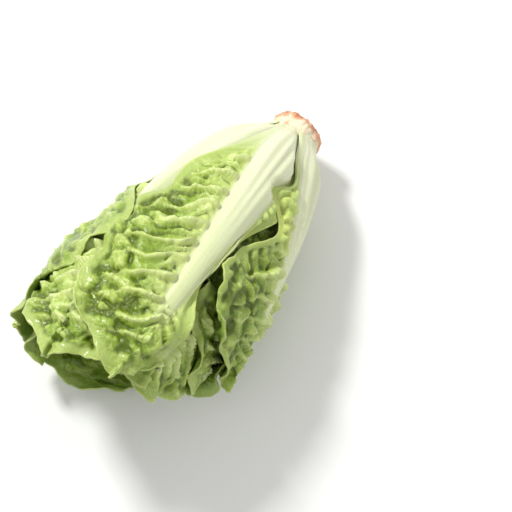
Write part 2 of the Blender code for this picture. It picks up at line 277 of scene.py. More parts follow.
def ribRelief(leaf, u, v):
    across = np.clip(np.abs(v) / outline["ribShare"], 0.0, 1.0)
    fade, atRoot = ribForm["fade"], ribForm["atRoot"]
    along = (1.0 - fade * smooth(0.0, 0.98, u)) * (atRoot + (1.0 - atRoot) * smooth(0.0, 0.14, u))
    along = along * (1.0 - fade * smooth(leaf["ribFade"] - 0.1, leaf["ribFade"] + 0.04, u))
    ridges = leaf["ridge"] * np.cos(ribForm["ridges"] * across + leaf["phase"])
    ridges = 1.0 + ridges * (1.0 - smooth(0.1, 0.6, u))
    return leaf["ribHeight"] * along * (1.0 - across**2) ** ribForm["roundness"] * ridges


def ruffleRelief(leaf, u, v):  # waves along the margins and tip, broad folds, and the flares
    phase, waves, fromMiddle = leaf["phase"], 2 * math.pi * leaf["waves"], np.abs(v)
    edge = smooth(0.35, 1.0, fromMiddle) * smooth(0.2, 0.6, u)
    wave = np.sin(waves * u + phase + np.where(v < 0, 0.0, waviness["rightShift"]))
    end = smooth(0.7, 1.0, u) * np.sin(waviness["tipWaves"] * v + phase)
    flare = np.where(v < 0, leaf["flareLeft"], leaf["flareRight"])
    flare = flare * fromMiddle ** waviness["flareCurve"] * smooth(0.3, 0.6, u)
    lengthwise = waviness["foldsAlong"] * u - waviness["foldsLean"] * fromMiddle
    crosswise = waviness["foldsAcross"] * v + waviness["foldsTurn"] * u
    folds = np.sin(lengthwise + waviness["foldsPhase"] * phase) * np.sin(crosswise + phase)
    folds = leaf["folds"] * folds * smooth(0.22, 0.5, fromMiddle) * smooth(0.1, 0.3, u)
    ruffles = leaf["ruffle"] * (edge * wave + waviness["tipShare"] * end)
    return ruffles + flare + leaf["tipFlare"] * u ** waviness["tipFlareCurve"] + folds


# the room that the leaves already laid leave for the next one, on a map of along and turn
def leastWithin(room, reach, axis):
    least = room
    for step in range(1, reach + 1):
        least = np.minimum(least, np.minimum(np.roll(room, step, axis), np.roll(room, -step, axis)))
    return least


def blurred(room, reach, axis):
    total = room.copy()
    for step in range(1, reach + 1):
        total = total + np.roll(room, step, axis) + np.roll(room, -step, axis)
    return total / (2 * reach + 1)


def mapPlace(along, turn):
    x = np.clip((along - layering["mapStart"]) / layering["mapStep"], 0, roomShape[0] - 1.001)
    return x, np.mod(turn, 360.0) * layering["mapTurns"] / 360.0


def roomNear(along, turn):
    x, y = mapPlace(along, turn)
    return np.round(x).astype(int), np.round(y).astype(int) % layering["mapTurns"]


def roomAt(room, along, turn):
    x, y = mapPlace(along, turn)
    i, j = x.astype(int), y.astype(int) % layering["mapTurns"]
    fx, fy, k = x - i, y - y.astype(int), (j + 1) % layering["mapTurns"]
    i2 = np.minimum(i + 1, roomShape[0] - 1)
    return (
        room[i, j] * (1 - fx) * (1 - fy) + room[i2, j] * fx * (1 - fy)
        + room[i, k] * (1 - fx) * fy + room[i2, k] * fx * fy
    )


def overCells(corners):
    a, b = corners[:-1, :-1, None], corners[:-1, 1:, None]
    d, c = corners[1:, :-1, None], corners[1:, 1:, None]
    steps = np.linspace(0.0, 1.0, layering["cellPlaces"])
    s, t = (grid.ravel() for grid in np.meshgrid(steps, steps, indexing="ij"))
    return (a * (1 - t) + b * t) * (1 - s) + (d * (1 - t) + c * t) * s


def softened(grid, rounds):  # evens out a value over the leaf, its edges kept
    for _ in range(rounds):
        padded = np.pad(grid, 1, mode="edge")
        grid = (
            4 * grid + 2 * (padded[:-2, 1:-1] + padded[2:, 1:-1] + padded[1:-1, :-2] + padded[1:-1, 2:])
            + padded[:-2, :-2] + padded[2:, 2:] + padded[:-2, 2:] + padded[2:, :-2]
        ) / 16
    return grid


def unit(vectors):
    return vectors / np.maximum(np.linalg.norm(vectors, axis=-1, keepdims=True), 1e-9)


def sheetNormals(points, outward):
    across = np.gradient(points, axis=1)
    along = np.gradient(points, axis=0)
    normal = unit(np.cross(across, along))
    flip = np.sign((normal * outward).sum(axis=-1).mean())
    return normal * flip


def turned(steps, normals, angles):  # bends steps towards the normals
    axis = unit(np.cross(steps, normals))
    cos, sin = np.cos(angles)[..., None], np.sin(angles)[..., None]
    lift = (axis * steps).sum(axis=-1, keepdims=True)
    return steps * cos + np.cross(axis, steps) * sin + axis * lift * (1 - cos)


def bendAcross(points, outward, angles, middle):
    normals = sheetNormals(points, outward)
    steps = np.diff(points, axis=1)
    side = np.where(np.arange(steps.shape[1]) < middle, -1.0, 1.0)
    bent = turned(steps, unit(normals[:, 1:] + normals[:, :-1]), angles * side)
    out = points.copy()
    out[:, middle + 1:] = points[:, middle:middle + 1] + np.cumsum(bent[:, middle:], axis=1)
    out[:, :middle] = points[:, middle:middle + 1] - np.cumsum(bent[:, :middle][:, ::-1], axis=1)[:, ::-1]
    return out


def bendAlong(points, outward, angles):
    normals = sheetNormals(points, outward)
    steps = np.diff(points, axis=0)
    bent = turned(steps, unit(normals[1:] + normals[:-1]), angles)
    out = points.copy()
    out[1:] = points[:1] + np.cumsum(bent, axis=0)
    return out


frilling = {  # how the margins' frill runs
    "curve": 1.2, "beat": 5.3, "starts": (0.25, 0.5), "tipShare": 0.8, "tipWaves": 13.0, "tipFrom": 0.82,
}


def rolled(leaf, points, outward, u, v, middle):  # rolls the margins and the tip in or out
    share = outline["ribShare"]
    outside = np.clip((np.abs(v) - share) / (1 - share), 0.0, 1.0)
    amount = smooth(leaf["rollFrom"], 1.0, outside) ** frilling["curve"]
    left = curveThrough(leaf["rollLeft"], u)
    right = curveThrough(leaf["rollRight"], u)
    frill = leaf["frill"] * np.sin(2 * math.pi * leaf["frillWaves"] * u + leaf["phase"])
    frill = frill * np.cos(frilling["beat"] * u + leaf["phase"]) * smooth(*frilling["starts"], u)
    angle = (np.where(v < 0, left, right) + frill) * amount
    angle = np.radians((angle[:, 1:] + angle[:, :-1]) / 2)
    points = bendAcross(points, outward, angle, middle)
    tipFrill = leaf["frill"] * frilling["tipShare"] * np.sin(frilling["tipWaves"] * v + leaf["phase"])
    tip = (curveThrough(leaf["rollTip"], v) + tipFrill) * smooth(frilling["tipFrom"], 1.0, u)
    return bendAlong(points, outward, np.radians((tip[1:] + tip[:-1]) / 2))


def laySheet(leaf, room):
    u, v, middle = leafGrid(leaf)
    along, turn, across, fromRib, toMargin = leafOutline(leaf, u, v)
    rib = ribRelief(leaf, u, v)
    spread, thick = layering["spread"], head["bladeThick"]
    free = leastWithin(leastWithin(room, spread, 1), spread, 0)
    free = blurred(blurred(free, spread, 1), spread, 0)
    limit = roomAt(free, along, turn) * headRadius(along) - layering["clearance"] - rib
    sunk = layering["ribSunk"] * rib * smooth(0.0, 0.15, u)
    wanted = leafRadius(leaf, along) - sunk + ruffleRelief(leaf, u, v)
    reach = layering["coverReach"]
    covered = smooth(0.0, reach, wanted - limit + reach / 2)
    skin = -np.logaddexp(-wanted, -limit)
    skin = np.minimum(skin, floorRadius(along, turn) - rib - head["offFloor"])
    lowest = coreRadius(along) + thick
    skin = np.maximum(skin, lowest)
    near = roomNear(overCells(along), overCells(turn))
    above = room[near] * headRadius(overCells(along)) - layering["clearance"] * 0.5
    for _ in range(layering["settleRounds"]):
        excess = np.maximum((overCells(skin + rib) - above).max(axis=-1), 0.0)
        if excess.max() < layering["settled"]:
            break
        padded = np.pad(excess, 1)
        lower = np.maximum.reduce([padded[1:, 1:], padded[:-1, 1:], padded[1:, :-1], padded[:-1, :-1]])
        drop = np.minimum(lower, np.maximum(skin - lowest, 0.0))
        skin = skin - drop
        rib = np.maximum(rib - (lower - drop), 0.0)
    skin = softened(skin, layering["softenRounds"])
    np.minimum.at(room, near, overCells(skin - thick) / headRadius(overCells(along)))
    points = onHead(along, turn, skin + rib)
    outward = outwardAt(turn)
    points = rolled(leaf, points, outward, u, v, middle)
    return {
        "points": points, "outward": outward, "across": across, "along": along - leaf["root"],
        "fromRib": fromRib, "toMargin": toMargin, "rib": rib, "covered": covered, "u": u, "v": v,
    }


# node building
def feed(tree, socket, value):
    if isinstance(value, bpy.types.NodeSocket):
        tree.links.new(value, socket)
    else:
        socket.default_value = value


def put(tree, kind, inputs=(), **settings):
    node = tree.nodes.new(kind)
    for name, value in settings.items():
        setattr(node, name, value)
    for socket, value in dict(inputs).items():
        feed(tree, node.inputs[socket], value)
    return node


def calc(tree, operation, first, second=0.0, third=0.0, clamp=False):
    inputs = {0: first, 1: second, 2: third}
    return put(tree, "ShaderNodeMath", inputs, operation=operation, use_clamp=clamp).outputs[0]


def times(tree, first, *others):
    for other in others:
        first = calc(tree, "MULTIPLY", first, other)
    return first


def vectorCalc(tree, operation, first, second):
    return put(tree, "ShaderNodeVectorMath", {0: first, 1: second}, operation=operation).outputs[0]


def vectorTimes(tree, vector, amount):
    return put(tree, "ShaderNodeVectorMath", {0: vector, "Scale": amount}, operation="SCALE").outputs[0]


def ranged(tree, value, low, high, toLow=0.0, toHigh=1.0):
    node = put(tree, "ShaderNodeMapRange", {"Value": value}, interpolation_type="SMOOTHSTEP")
    for name, bound in zip(("From Min", "From Max", "To Min", "To Max"), (low, high, toLow, toHigh)):
        feed(tree, node.inputs[name], bound)
    return node.outputs["Result"]


def noiseOf(tree, vector, scale, detail=2.0, roughness=0.5):
    inputs = {"Vector": vector, "Scale": scale, "Detail": detail, "Roughness": roughness}
    return put(tree, "ShaderNodeTexNoise", inputs).outputs["Fac"]


def cellsOf(tree, vector, scale):
    inputs = {"Vector": vector, "Scale": scale}
    return put(tree, "ShaderNodeTexVoronoi", inputs, feature="DISTANCE_TO_EDGE").outputs["Distance"]


def wandering(tree, place, scale, detail, amount):  # place, pushed about by a noise
    push = put(tree, "ShaderNodeTexNoise", {"Vector": place, "Scale": scale, "Detail": detail})
    push = vectorCalc(tree, "SUBTRACT", push.outputs["Color"], (0.5, 0.5, 0.5))
    return vectorCalc(tree, "ADD", place, vectorTimes(tree, push, amount))


def attributeOf(tree, name, vector=False):
    if tree.bl_idname == "GeometryNodeTree":
        kind = "FLOAT_VECTOR" if vector else "FLOAT"
        node = put(tree, "GeometryNodeInputNamedAttribute", {"Name": name}, data_type=kind)
        return node.outputs["Attribute"]
    node = put(tree, "ShaderNodeAttribute", attribute_name=name)
    return node.outputs["Vector" if vector else "Fac"]


# the tree that puckers a sheet, gives it its thickness and closes it
pucker = {
    "Vein spacing": 10.5, "Vein height": 2.6, "Vein reach": 42.0, "Vein lean": 0.5, "Vein bow": 0.0035,
    "Vein half at rib": 2.9, "Vein half far out": 1.3,
    "Pleat spacing": 5.2, "Pleat height": 1.9, "Pleat reach": 24.0, "Pleat sway": 12.0,
    "Blister size": 8.0, "Blister stretch": 1.8, "Blister height": 2.8, "Blister level": 0.45,
    "Small blister size": 3.8, "Small blister height": 1.05, "Smooth margin": 8.0,
    "Warp": 6.0, "Warp scale": 0.055, "Uneven scale": 0.12,
}


def puckerTree():
    tree = bpy.data.node_groups.new("puckerLeaf", "GeometryNodeTree")
    tree.interface.new_socket(name="Sheet", in_out="INPUT", socket_type="NodeSocketGeometry")
    for name, value in pucker.items():
        socket = tree.interface.new_socket(name=name, in_out="INPUT", socket_type="NodeSocketFloat")
        socket.default_value = value
    tree.interface.new_socket(name="Finish", in_out="INPUT", socket_type="NodeSocketMaterial")
    tree.interface.new_socket(name="Leaf", in_out="OUTPUT", socket_type="NodeSocketGeometry")
    given = put(tree, "NodeGroupInput").outputs

    place = attributeOf(tree, "leafSpace", vector=True)
    fromRib, toMargin = attributeOf(tree, "fromRib"), attributeOf(tree, "toMargin")
    strength = attributeOf(tree, "strength")
    warped = wandering(tree, place, given["Warp scale"], 1.5, times(tree, given["Warp"], 2.0))
    split = put(tree, "ShaderNodeSeparateXYZ", {0: warped}).outputs
    sideways = calc(tree, "ABSOLUTE", split["X"])
    bow = times(tree, sideways, sideways, given["Vein bow"])
    bow = calc(tree, "MULTIPLY_ADD", sideways, given["Vein lean"], bow)
    lean = calc(tree, "SUBTRACT", split["Y"], bow)

    # side veins leave the rib in pairs that are half a spacing out of step
    beat = calc(tree, "DIVIDE", lean, given["Vein spacing"])
    beat = calc(tree, "MULTIPLY_ADD", calc(tree, "SIGN", split["X"]), 0.25, beat)
    offVein = times(tree, calc(tree, "PINGPONG", beat, 0.5), given["Vein spacing"])
    veinHalf = ranged(tree, fromRib, 0.0, 40.0, given["Vein half at rib"], given["Vein half far out"])
    vein = calc(tree, "SUBTRACT", 1.0, calc(tree, "DIVIDE", offVein, veinHalf), clamp=True)
    vein = ranged(tree, vein, 0.0, 1.0)

    # pleats run beside the side veins near the rib
    sway = times(tree, noiseOf(tree, place, 0.11, 1.5), given["Pleat sway"])
    beat = calc(tree, "DIVIDE", times(tree, lean, 2 * math.pi), given["Pleat spacing"])
    pleat = calc(tree, "SINE", times(tree, calc(tree, "ADD", beat, sway), 0.5))
    pleat = calc(tree, "POWER", calc(tree, "ABSOLUTE", pleat), 0.75)
    pleat = calc(tree, "MULTIPLY_ADD", pleat, 2.0, -1.05)
    fade = ranged(tree, fromRib, given["Pleat reach"], 3.0)
    pleat = times(tree, pleat, fade, given["Pleat height"])

    # blisters with sharp valleys between them
    size = calc(tree, "DIVIDE", 1.0, given["Blister size"])
    narrow = calc(tree, "DIVIDE", 1.0, given["Blister stretch"])
    stretch = put(tree, "ShaderNodeCombineXYZ", {"X": narrow, "Y": 1.0, "Z": 1.0}).outputs[0]
    large = ranged(tree, cellsOf(tree, vectorCalc(tree, "MULTIPLY", warped, stretch), size), 0.0, 0.34)
    large = times(tree, calc(tree, "SUBTRACT", large, given["Blister level"]), given["Blister height"])
    size = calc(tree, "DIVIDE", 1.0, given["Small blister size"])
    small = ranged(tree, cellsOf(tree, warped, size), 0.0, 0.4)
    small = calc(tree, "SUBTRACT", small, given["Blister level"])
    small = times(tree, small, given["Small blister height"])
    away = ranged(tree, fromRib, 4.0, 22.0, 0.15, 1.0)
    bumpy = calc(tree, "ADD", times(tree, large, away), times(tree, small, away))
    uneven = ranged(tree, noiseOf(tree, place, given["Uneven scale"], 1.5), 0.3, 0.7, 0.3, 1.4)
    bumpy = times(tree, calc(tree, "ADD", bumpy, pleat), uneven)
    inside = ranged(tree, toMargin, 2.0, given["Smooth margin"])
    bumpy = times(tree, bumpy, times(tree, ranged(tree, fromRib, 0.5, 4.0), inside), strength)
    ridge = times(tree, vein, given["Vein height"], ranged(tree, fromRib, 0.0, 2.0))
    ridge = times(tree, ridge, ranged(tree, fromRib, given["Vein reach"], 8.0, 0.15, 1.0))
    ridge = times(tree, ridge, ranged(tree, toMargin, 5.0, 18.0))
    relief = calc(tree, "ADD", bumpy, times(tree, ridge, strength))

    def stored(geometry, name, value, kind="FLOAT", selection=True):
        inputs = {"Geometry": geometry, "Selection": selection, "Name": name, "Value": value}
        node = put(tree, "GeometryNodeStoreNamedAttribute", inputs, data_type=kind, domain="POINT")
        return node.outputs["Geometry"]

    normal = put(tree, "GeometryNodeInputNormal").outputs["Normal"]
    sheet = stored(given["Sheet"], "crease", relief)
    sheet = stored(sheet, "vein", vein)
    sheet = stored(sheet, "inside", 0.0)
    offset = vectorTimes(tree, normal, times(tree, relief, 1 / perMetre))
    inputs = {"Geometry": sheet, "Offset": offset}
    sheet = put(tree, "GeometryNodeSetPosition", inputs).outputs["Geometry"]

    # the inner face is the sheet moved in by the leaf's thickness, with a rim between the two
    inward = times(tree, attributeOf(tree, "thickness"), -1 / perMetre)
    inward = vectorTimes(tree, normal, inward)
    sheet = stored(sheet, "inwardStep", inward, "FLOAT_VECTOR")
    inputs = {"Mesh": sheet, "Offset Scale": 0.0, "Individual": False}
    shell = put(tree, "GeometryNodeExtrudeMesh", inputs)
    moved = attributeOf(tree, "inwardStep", vector=True)
    inner = {"Geometry": shell.outputs["Mesh"], "Selection": shell.outputs["Top"], "Offset": moved}
    inner = put(tree, "GeometryNodeSetPosition", inner).outputs["Geometry"]
    inner = stored(inner, "inside", 1.0, selection=shell.outputs["Top"])
    inner = put(tree, "GeometryNodeFlipFaces", {"Mesh": inner}).outputs["Mesh"]
    joined = put(tree, "GeometryNodeJoinGeometry")
    tree.links.new(inner, joined.inputs[0])
    tree.links.new(sheet, joined.inputs[0])
    inputs = {"Geometry": joined.outputs[0], "Distance": 0.000001}
    closed = put(tree, "GeometryNodeMergeByDistance", inputs)

    # no point goes below the floor
    position = put(tree, "GeometryNodeInputPosition").outputs[0]
    where = put(tree, "ShaderNodeSeparateXYZ", {0: position}).outputs
    raised = calc(tree, "MAXIMUM", where["Z"], head["offFloor"] / perMetre)
    raised = put(tree, "ShaderNodeCombineXYZ", {"X": where["X"], "Y": where["Y"], "Z": raised}).outputs[0]
    closed = put(tree, "GeometryNodeSetPosition", {"Geometry": closed.outputs[0], "Position": raised})
    even = put(tree, "GeometryNodeSetShadeSmooth", {"Geometry": closed.outputs[0]})
    real = put(tree, "GeometryNodeRealizeInstances", {"Geometry": even.outputs[0]})
    finished = {"Geometry": real.outputs[0], "Material": given["Finish"]}
    put(tree, "NodeGroupOutput", {"Leaf": put(tree, "GeometryNodeSetMaterial", finished).outputs[0]})
    return tree


def plainMesh(maker, tree, values, name):  # what a tree makes of an object, as a plain object
    modifier = maker.modifiers.new("shape", "NODES")
    modifier.node_group = tree
    for item in tree.interface.items_tree:
        if item.in_out == "INPUT" and item.name in values:
            modifier[item.identifier] = values[item.name]
    bpy.context.view_layer.update()
    made = bpy.data.meshes.new_from_object(maker.evaluated_get(bpy.context.evaluated_depsgraph_get()))
    bpy.data.objects.remove(maker)
    made.name = name
    piece = bpy.data.objects.new(name, made)
    bpy.context.scene.collection.objects.link(piece)
    return piece


def gridMesh(name, points):
    rows, columns = points.shape[:2]
    index = np.arange(rows * columns).reshape(rows, columns)
    corners = [index[:-1, :-1], index[1:, :-1], index[1:, 1:], index[:-1, 1:]]
    quads = np.stack(corners, axis=-1).reshape(-1, 4)
    mesh = bpy.data.meshes.new(name)
    mesh.vertices.add(rows * columns)
    mesh.vertices.foreach_set("co", (points / perMetre).astype(np.float32).ravel())
    mesh.loops.add(quads.size)
    mesh.loops.foreach_set("vertex_index", quads.astype(np.int32).ravel())
    mesh.polygons.add(len(quads))
    mesh.polygons.foreach_set("loop_start", np.arange(0, quads.size, 4, dtype=np.int32))
    mesh.update(calc_edges=True)
    mesh.validate()
    return mesh


def giveAttribute(mesh, name, values):
    vector = values.ndim == 3
    layer = mesh.attributes.new(name, "FLOAT_VECTOR" if vector else "FLOAT", "POINT")
    layer.data.foreach_set("vector" if vector else "value", values.astype(np.float32).ravel())


calm = {  # where a leaf is less puckered: near the stem, under other leaves and on the floor
    "nearStem": (8.0, 40.0), "hidden": 0.8, "nearFloor": (0.5, 4.0), "onFloor": 0.15,
}
ribLook = {"thickness": 0.9, "edge": (-0.2, 1.8), "fadeReach": 16.0}


def leafPiece(name, leaf, room, tree, finish):
    sheet = laySheet(leaf, room)
    points = sheet["points"]
    points[..., 2] = np.maximum(points[..., 2], head["sheetOffFloor"])
    normals = np.cross(np.gradient(points, axis=0), np.gradient(points, axis=1))
    if (normals * sheet["outward"]).sum() < 0:
        points, sheet = points[:, ::-1], {key: grid[:, ::-1] for key, grid in sheet.items()}
    mesh = gridMesh(name, points)
    seed = np.full(points.shape[:2], leaf["seed"])
    giveAttribute(mesh, "leafSpace", np.stack([sheet["across"], sheet["along"], seed], axis=-1))
    faded = smooth(leaf["ribFade"] - 0.05, leaf["ribFade"] + 0.1, sheet["u"])
    giveAttribute(mesh, "fromRib", sheet["fromRib"] + ribLook["fadeReach"] * faded)
    giveAttribute(mesh, "toMargin", sheet["toMargin"])
    offFloor = smooth(*calm["nearFloor"], points[..., 2])
    offFloor = calm["onFloor"] + (1.0 - calm["onFloor"]) * offFloor
    grown = smooth(*calm["nearStem"], sheet["along"])
    free = leaf["puckered"] * (1.0 - calm["hidden"] * leaf["hidden"] * sheet["covered"])
    giveAttribute(mesh, "strength", grown * free * offFloor)
    giveAttribute(mesh, "thickness", head["bladeThick"] + ribLook["thickness"] * sheet["rib"])
    ribMask = 1.0 - smooth(*ribLook["edge"], sheet["fromRib"])
    ribMask = ribMask * (1.0 - smooth(leaf["ribFade"] - 0.06, leaf["ribFade"] + 0.04, sheet["u"]))
    giveAttribute(mesh, "ribMask", ribMask)
    side, place, reach = leaf["paleSpot"]
    pale = np.exp(-(((sheet["u"] - place) / reach) ** 2)) * (np.sign(sheet["v"]) == side) * (side != 0)
    giveAttribute(mesh, "tone", np.maximum(leaf["tone"], pale))
    maker = bpy.data.objects.new(name + "Maker", mesh)
    bpy.context.scene.collection.objects.link(maker)
    values = {"Smooth margin": leaf["smoothMargin"], "Finish": finish}
    return plainMesh(maker, tree, values, name + "Leaf")


# finishes
def tint(red, green, blue):
    return tuple((c / 255.0) ** 2.2 for c in (red, green, blue)) + (1.0,)


def mixed(tree, factor, first, second):
    node = put(tree, "ShaderNodeMix", data_type="RGBA")
    feed(tree, node.inputs["Factor"], factor)
    feed(tree, node.inputs[6], first)
    feed(tree, node.inputs[7], second)
    return node.outputs[2]


leafColours = {
    # crease is the colour of the painted shade in the deepest creases
    "crease": (78, 95, 2), "deep": (108, 140, 34), "green": (150, 174, 66), "light": (184, 202, 108),
    # the ridge-top colour is partly the crests' own pale tone and partly painted highlight
    "paleCrestAndHighlight": (206, 220, 150), "vein": (200, 214, 126), "nearRib": (206, 220, 140),
    "margin": (170, 188, 104), "rim": (190, 202, 116), "young": (190, 214, 108),
    "heart": (206, 216, 118), "ribWhite": (219, 222, 188), "ribGreen": (203, 214, 152),
}
leafPattern = {  # scales per millimetre, netWander in millimetres and the depths of the bumps in metres
    "broad": 0.05, "fine": 0.9, "net": 0.14, "fineNet": 0.62, "netWander": 9.0,
    "streaks": (1.1, 0.06, 1.0), "wrinkles": (0.16, 1.0, 1.0), "wrinkleScale": 1.1, "grain": 1.7,
    "crumple": 0.38, "grainDepth": 0.0004, "crumpleDepth": 0.0009,
}
leafGloss = {
    "Specular IOR Level": 0.36, "Coat Weight": 0.16, "Coat Roughness": 0.09,
    "Subsurface Weight": 0.22, "Subsurface Radius": (0.7, 1.0, 0.3), "Subsurface Scale": 0.0016,
}


def newMaterial(name):
    material = bpy.data.materials.new(name)
    material.use_nodes = True
    tree = material.node_tree
    return material, tree, tree.nodes["Principled BSDF"]


def setGloss(shader, gloss):  # what is the same all over a surface
    for name, value in gloss.items():
        shader.inputs[name].default_value = value


def leafFinish(materialName):
    material, tree, shader = newMaterial(materialName)
    colour = {key: tint(*value) for key, value in leafColours.items()}
    pattern = leafPattern
    place = attributeOf(tree, "leafSpace", vector=True)
    crease, vein = attributeOf(tree, "crease"), attributeOf(tree, "vein")
    inside, tone = attributeOf(tree, "inside"), attributeOf(tree, "tone")
    fromRib, toMargin = attributeOf(tree, "fromRib"), attributeOf(tree, "toMargin")
    ribMask = attributeOf(tree, "ribMask")
    broad, fine = noiseOf(tree, place, pattern["broad"], 2.0), noiseOf(tree, place, pattern["fine"], 3.0)

    # the blade gets painted shade in its creases and painted light on its ridges, mixed with random tone,
    # and is paler near the midrib, the stem and the margin
    shade = calc(tree, "MULTIPLY_ADD", crease, 0.16, 0.5)
    shade = calc(tree, "MULTIPLY_ADD", calc(tree, "SUBTRACT", broad, 0.5), 0.8, shade)
    shade = calc(tree, "MULTIPLY_ADD", calc(tree, "SUBTRACT", fine, 0.5), 0.3, shade, clamp=True)
    blade = mixed(tree, shade, colour["deep"], colour["green"])
    blade = mixed(tree, ranged(tree, shade, 0.45, 1.0), blade, colour["light"])
    down = put(tree, "ShaderNodeSeparateXYZ", {0: place}).outputs["Y"]
    wander = wandering(tree, place, pattern["net"], 2.0, pattern["netWander"])
    net = ranged(tree, cellsOf(tree, wander, pattern["net"]), 0.05, 0.0)
    fineNet = ranged(tree, cellsOf(tree, place, pattern["fineNet"]), 0.1, 0.0)
    net = calc(tree, "MULTIPLY_ADD", fineNet, 0.3, times(tree, net, 0.8), clamp=True)
    layers = (  # colour, where it lies, and how much of it at most
        ("nearRib", ranged(tree, fromRib, 16.0, 0.0), 0.75),
        ("young", ranged(tree, down, 72.0, 22.0), 0.6),
        ("vein", times(tree, vein, ranged(tree, toMargin, 1.0, 14.0)), 0.65),
        ("margin", ranged(tree, toMargin, 9.0, 3.0), 0.7),
        ("vein", net, 0.52),
        ("rim", ranged(tree, toMargin, 1.2, 0.2), 0.8),
        # painted shade: the deepest creases darken towards the crease colour
        ("crease", ranged(tree, crease, 0.0, -1.2), 0.8),
        # ridge tops lighten: partly their own pale tone, partly painted highlight
        ("paleCrestAndHighlight", ranged(tree, crease, 1.0, 2.6), 0.5),
        ("heart", tone, 0.6),
        ("deep", inside, 0.35),
    )
    for name, where, most in layers:
        blade = mixed(tree, times(tree, where, most), blade, colour[name])

    # the midrib is streaked along its length and greener towards the tip
    streaks = noiseOf(tree, vectorCalc(tree, "MULTIPLY", place, pattern["streaks"]), 1.0, 4.0, 0.6)
    greener = ranged(tree, down, 25.0, 150.0, 0.0, 0.8)
    greener = calc(tree, "ADD", greener, times(tree, streaks, 0.45))
    greener = calc(tree, "SUBTRACT", greener, 0.15, clamp=True)
    rib = mixed(tree, greener, colour["ribWhite"], colour["ribGreen"])
    base = mixed(tree, ribMask, blade, rib)
    base = mixed(tree, times(tree, ranged(tree, down, 42.0, 8.0), 0.8), base, rib)
    feed(tree, shader.inputs["Base Color"], base)

    # gloss, fine grain and small crumples
    rough = calc(tree, "MULTIPLY_ADD", fine, 0.22, 0.1)
    rough = calc(tree, "ADD", rough, ranged(tree, toMargin, 9.0, 3.0, 0.0, 0.22))
    feed(tree, shader.inputs["Roughness"], calc(tree, "MULTIPLY_ADD", ribMask, 0.08, rough))
    grain = noiseOf(tree, place, pattern["grain"], 4.0, 0.6)
    grain = calc(tree, "ADD", grain, times(tree, net, -0.8))
    grain = times(tree, grain, calc(tree, "MULTIPLY_ADD", ribMask, -0.85, 1.0))
    across = vectorCalc(tree, "MULTIPLY", place, pattern["wrinkles"])
    wrinkles = noiseOf(tree, across, pattern["wrinkleScale"], 2.0)
    wrinkles = calc(tree, "MULTIPLY_ADD", wrinkles, 0.8, streaks)
    grain = calc(tree, "ADD", grain, times(tree, wrinkles, ribMask))
    bump = {"Height": grain, "Strength": 0.5, "Distance": pattern["grainDepth"]}
    bump = put(tree, "ShaderNodeBump", bump).outputs[0]
    crumpled = ranged(tree, cellsOf(tree, place, pattern["crumple"]), 0.0, 0.35)
    inBlade = times(tree, ranged(tree, fromRib, 1.0, 6.0), ranged(tree, toMargin, 4.0, 9.0))
    crumpled = times(tree, crumpled, inBlade, ranged(tree, broad, 0.3, 0.6))
    crumple = {"Height": crumpled, "Strength": 0.4, "Distance": pattern["crumpleDepth"], "Normal": bump}
    feed(tree, shader.inputs["Normal"], put(tree, "ShaderNodeBump", crumple).outputs[0])
    setGloss(shader, leafGloss)
    return material


# the stem, cut across at its foot
stem = {
    "radius": 13.4, "sides": 160, "rings": 70,
    "profile": (
        (-1.2, 0.02), (-1.2, 0.4), (-0.3, 0.8), (0.8, 0.98), (3.0, 1.0), (6.5, 0.97),
        (10.0, 0.86), (16.0, 0.55), (30.0, 0.35), (56.0, 0.14), (58.5, 0.01),
    ),
    "wobble": ((7, 0, 0.035), (3, 40, 0.03)),  # waves round the stem, where they start, their depth
    "relief": {"Lump size": 5.0, "Lump height": 1.5, "Scar size": 4.5, "Scar height": 0.6},
}
stemColours = {
    "flesh": (240, 224, 192), "pink": (226, 172, 136), "brown": (178, 104, 62), "dark": (150, 86, 50),
}
stemPattern = {"patches": 0.2, "specks": 1.1, "speckDepth": 0.0006}
stemGloss = {
    "Subsurface Weight": 0.2, "Subsurface Radius": (1.0, 0.7, 0.4), "Subsurface Scale": 0.002,
}


def stemTree():
    tree = bpy.data.node_groups.new("roughenStem", "GeometryNodeTree")
    tree.interface.new_socket(name="Stem", in_out="INPUT", socket_type="NodeSocketGeometry")
    for name, value in stem["relief"].items():
        socket = tree.interface.new_socket(name=name, in_out="INPUT", socket_type="NodeSocketFloat")
        socket.default_value = value
    tree.interface.new_socket(name="Finish", in_out="INPUT", socket_type="NodeSocketMaterial")
    tree.interface.new_socket(name="Piece", in_out="OUTPUT", socket_type="NodeSocketGeometry")
    given = put(tree, "NodeGroupInput").outputs
    place = attributeOf(tree, "stemSpace", vector=True)
    rough = attributeOf(tree, "rough")
    lumps = noiseOf(tree, place, calc(tree, "DIVIDE", 1.0, given["Lump size"]), 2.0)
    lumps = times(tree, calc(tree, "SUBTRACT", lumps, 0.5), times(tree, given["Lump height"], 2.0))
    scars = cellsOf(tree, place, calc(tree, "DIVIDE", 1.0, given["Scar size"]))
    scars = calc(tree, "SUBTRACT", ranged(tree, scars, 0.0, 0.3), 0.7)
    relief = calc(tree, "MULTIPLY_ADD", scars, given["Scar height"], lumps)
    relief = times(tree, relief, rough)
    inputs = {"Geometry": given["Stem"], "Name": "crease", "Value": relief}
    marked = put(tree, "GeometryNodeStoreNamedAttribute", inputs, data_type="FLOAT", domain="POINT")
    normal = put(tree, "GeometryNodeInputNormal").outputs["Normal"]
    offset = vectorTimes(tree, normal, times(tree, relief, 1 / perMetre))
    inputs = {"Geometry": marked.outputs[0], "Offset": offset}
    moved = put(tree, "GeometryNodeSetPosition", inputs).outputs["Geometry"]
    even = put(tree, "GeometryNodeSetShadeSmooth", {"Geometry": moved}).outputs[0]
    real = put(tree, "GeometryNodeRealizeInstances", {"Geometry": even}).outputs[0]
    finished = {"Geometry": real, "Material": given["Finish"]}
    put(tree, "NodeGroupOutput", {"Piece": put(tree, "GeometryNodeSetMaterial", finished).outputs[0]})
    return tree


